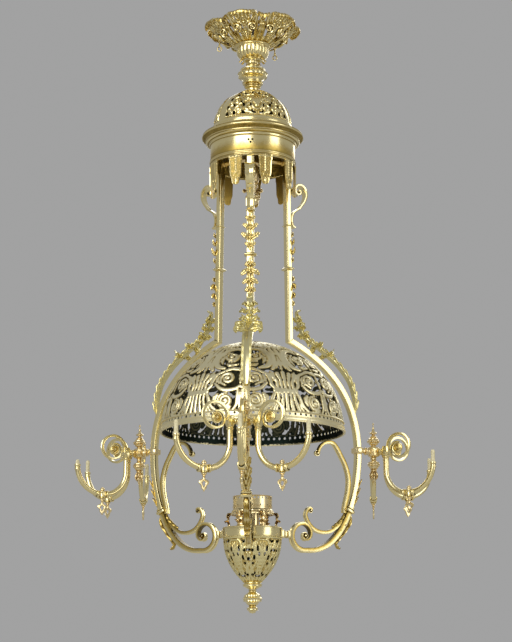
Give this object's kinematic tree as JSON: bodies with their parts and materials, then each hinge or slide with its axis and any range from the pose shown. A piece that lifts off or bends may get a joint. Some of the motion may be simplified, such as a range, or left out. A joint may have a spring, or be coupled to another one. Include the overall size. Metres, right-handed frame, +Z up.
{
  "type": "gasolier",
  "caption": "Hanging brass gas light with a pierced dome, round central burner and basket, arms from a drum, and turned bracket urns with curved gas branches and keys.",
  "frame": {"origin": "centre of the coupling's top face, where the ceiling pipe seats", "axes": "+Z up along the supply pipe, the first arm towards -Y, +X to its right"},
  "size_m": [0.9464, 0.9072, 1.5644],
  "materials": {
    "polished_brass": "polished, aged",
    "old_gold_brass": "cast, old gold lacquer",
    "green_brass": "cast, greenish patina",
    "rose_brass": "cast and turned, rosy",
    "iron_pipe": "dark iron",
    "burner_ceramic": "unglazed ceramic"
  },
  "bodies": {
    "frame": {"pipe_coupling": "iron_pipe", "supply_pipe": "iron_pipe", "canopy_crown": "polished_brass", "canopy_bell": "polished_brass", "stem_knop": "polished_brass", "upper_dome": "polished_brass", "drum_band": "polished_brass", "gas_distributor": "rose_brass", "pendant_ring": "polished_brass", "pierced_dome": "old_gold_brass", "bottom_ring": "polished_brass", "burner_gallery": "rose_brass", "ring_burner": "rose_brass", "basket": "old_gold_brass", "basket_finial": "polished_brass", "arm_1": "polished_brass", "upper_scroll_1": "polished_brass", "acanthus_branch_1": "green_brass", "lower_scroll_1": "polished_brass", "bracket_urn_1": "rose_brass", "arm_2": "polished_brass", "upper_scroll_2": "polished_brass", "acanthus_branch_2": "green_brass", "lower_scroll_2": "polished_brass", "bracket_urn_2": "rose_brass", "arm_3": "polished_brass", "upper_scroll_3": "polished_brass", "acanthus_branch_3": "green_brass", "lower_scroll_3": "polished_brass", "bracket_urn_3": "rose_brass", "branch_1_1": "polished_brass", "burner_1_1": "burner_ceramic", "branch_1_2": "polished_brass", "burner_1_2": "burner_ceramic", "branch_1_3": "polished_brass", "burner_1_3": "burner_ceramic", "branch_2_1": "polished_brass", "burner_2_1": "burner_ceramic", "branch_2_2": "polished_brass", "burner_2_2": "burner_ceramic", "branch_2_3": "polished_brass", "burner_2_3": "burner_ceramic", "branch_3_1": "polished_brass", "burner_3_1": "burner_ceramic", "branch_3_2": "polished_brass", "burner_3_2": "burner_ceramic", "branch_3_3": "polished_brass", "burner_3_3": "burner_ceramic"},
    "main_key": {"main_cock_key": "rose_brass"},
    "key_1_1": {"cock_key_1_1": "rose_brass"},
    "key_1_2": {"cock_key_1_2": "rose_brass"},
    "key_1_3": {"cock_key_1_3": "rose_brass"},
    "key_2_1": {"cock_key_2_1": "rose_brass"},
    "key_2_2": {"cock_key_2_2": "rose_brass"},
    "key_2_3": {"cock_key_2_3": "rose_brass"},
    "key_3_1": {"cock_key_3_1": "rose_brass"},
    "key_3_2": {"cock_key_3_2": "rose_brass"},
    "key_3_3": {"cock_key_3_3": "rose_brass"}
  },
  "joints": [
    {"name": "main_cock", "type": "hinge", "parent": "frame", "child": "main_key", "pos_m": [0, 0, -0.44], "axis": [0, 0, 1], "range_deg": [0, 90]},
    {"name": "cock_1_1", "type": "hinge", "parent": "frame", "child": "key_1_1", "pos_m": [-0.09007, -0.412, -1.2485], "axis": [0, 0, 1], "range_deg": [0, 90]},
    {"name": "cock_1_2", "type": "hinge", "parent": "frame", "child": "key_1_2", "pos_m": [0, -0.464, -1.2485], "axis": [0, 0, 1], "range_deg": [0, 90]},
    {"name": "cock_1_3", "type": "hinge", "parent": "frame", "child": "key_1_3", "pos_m": [0.09007, -0.412, -1.2485], "axis": [0, 0, 1], "range_deg": [0, 90]},
    {"name": "cock_2_1", "type": "hinge", "parent": "frame", "child": "key_2_1", "pos_m": [0.40184, 0.128, -1.2485], "axis": [0, 0, 1], "range_deg": [0, 90]},
    {"name": "cock_2_2", "type": "hinge", "parent": "frame", "child": "key_2_2", "pos_m": [0.40184, 0.232, -1.2485], "axis": [0, 0, 1], "range_deg": [0, 90]},
    {"name": "cock_2_3", "type": "hinge", "parent": "frame", "child": "key_2_3", "pos_m": [0.31177, 0.284, -1.2485], "axis": [0, 0, 1], "range_deg": [0, 90]},
    {"name": "cock_3_1", "type": "hinge", "parent": "frame", "child": "key_3_1", "pos_m": [-0.31177, 0.284, -1.2485], "axis": [0, 0, 1], "range_deg": [0, 90]},
    {"name": "cock_3_2", "type": "hinge", "parent": "frame", "child": "key_3_2", "pos_m": [-0.40184, 0.232, -1.2485], "axis": [0, 0, 1], "range_deg": [0, 90]},
    {"name": "cock_3_3", "type": "hinge", "parent": "frame", "child": "key_3_3", "pos_m": [-0.40184, 0.128, -1.2485], "axis": [0, 0, 1], "range_deg": [-90, 0]}
  ]
}
